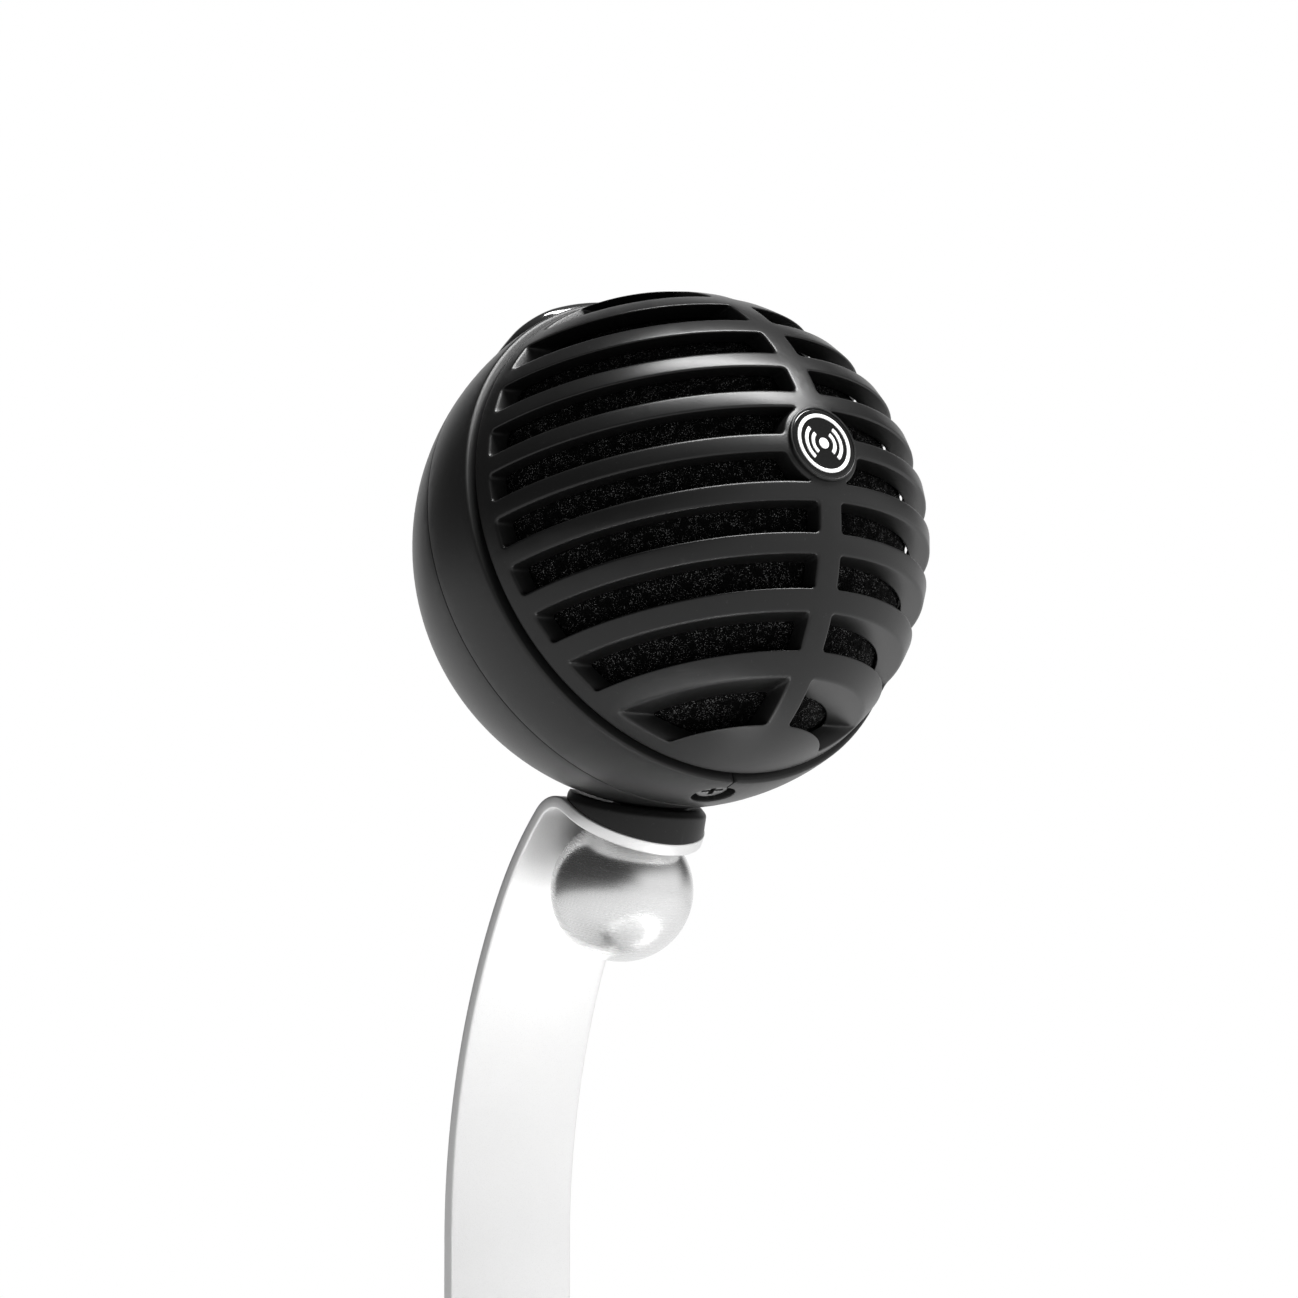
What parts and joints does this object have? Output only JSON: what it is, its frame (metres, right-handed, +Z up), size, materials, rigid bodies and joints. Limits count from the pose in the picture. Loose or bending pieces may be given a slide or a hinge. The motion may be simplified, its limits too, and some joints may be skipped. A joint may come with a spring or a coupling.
{
  "type": "desktop microphone",
  "caption": "Ball-shaped desktop microphone with a slotted front grille on a curved metal strip stand, clamped by a ball nut under a wedge collar.",
  "frame": {"origin": "on the ground under the middle of the outline, seen from above", "axes": "+Z up, the head faces -Y, +X is the sideways axis of the head and the stand"},
  "size_m": [0.089, 0.097, 0.1413],
  "materials": {
    "strip": "bead-blasted, anodised",
    "rubber_black": "matte",
    "collar_black": "fine matte",
    "nut_metal": "satin turned",
    "stud_steel": "plated",
    "nylon": "natural",
    "brass": "turned",
    "casing": "satin paint",
    "grille": "satin paint",
    "screw_black": "black oxide",
    "foam": "open cell foam",
    "badge": "gloss",
    "emblem": "printed white",
    "capsule_metal": "plated",
    "inner_plastic": "moulded",
    "lead_red": "insulated wire",
    "board": "lacquered circuit board",
    "socket_metal": "plated",
    "socket_plastic": "moulded",
    "island": "satin",
    "wheel_metal": "polished",
    "button": "satin",
    "lamp": "translucent lens"
  },
  "bodies": {
    "stand": {"stand_strip": "strip", "foot_pad": "rubber_black", "neck_collar": "collar_black", "friction_pad": "rubber_black"},
    "head": {"thread_insert": "brass", "rear_shell": "casing", "middle_shell": "casing", "case_screw": "screw_black", "rim_gasket": "rubber_black", "front_grille": "grille", "foam_windscreen": "foam", "badge_disc": "badge", "badge_emblem": "emblem", "mic_capsule": "capsule_metal", "capsule_boot": "rubber_black", "baffle": "inner_plastic", "capsule_leads": "lead_red", "main_board": "board", "board_screws": "stud_steel", "port_board": "board", "cable_socket": "socket_metal", "socket_tongue": "socket_plastic", "headphone_socket": "socket_plastic", "headphone_collar": "socket_metal", "control_island": "island", "level_lamps": "lamp", "tact_switches": "socket_plastic", "control_board": "board"},
    "washer": {"captive_washer": "nylon"},
    "nut": {"ball_nut": "nut_metal", "nut_stud": "stud_steel"},
    "wheel": {"volume_wheel": "wheel_metal", "wheel_axle": "stud_steel"},
    "mode_key": {"mode_button": "button"},
    "mute_key": {"mute_button": "button"}
  },
  "joints": [
    {"name": "head_swivel", "type": "hinge", "parent": "stand", "child": "head", "pos_m": [0, 0.0103, 0.1074], "axis": [0, -0.2504, 0.9681], "range_deg": [-90, 90]},
    {"name": "nut_travel", "type": "slide", "parent": "stand", "child": "washer", "axis": [0, 0.2504, -0.9681], "range_m": [0, 0.00381]},
    {"name": "nut_turn", "type": "hinge", "parent": "washer", "child": "nut", "pos_m": [0, 0.0103, 0.1074], "axis": [0, 0.2504, -0.9681], "range_deg": [0, 1082]},
    {"name": "volume_turn", "type": "hinge", "parent": "head", "child": "wheel", "pos_m": [0, 0.02502, 0.13586], "axis": [1, 0, 0], "continuous": true},
    {"name": "mode_press", "type": "slide", "parent": "head", "child": "mode_key", "axis": [0, -0.309, -0.9511], "range_m": [0, 0.0006], "stiffness_N_per_m": 600, "springref_m": -0.0008},
    {"name": "mute_press", "type": "slide", "parent": "head", "child": "mute_key", "axis": [0, -0.309, -0.9511], "range_m": [0, 0.0006], "stiffness_N_per_m": 600, "springref_m": -0.0008}
  ],
  "couplings": [
    {"joint": "nut_turn", "follows": "nut_travel", "rad_per_m": 4947.4}
  ]
}
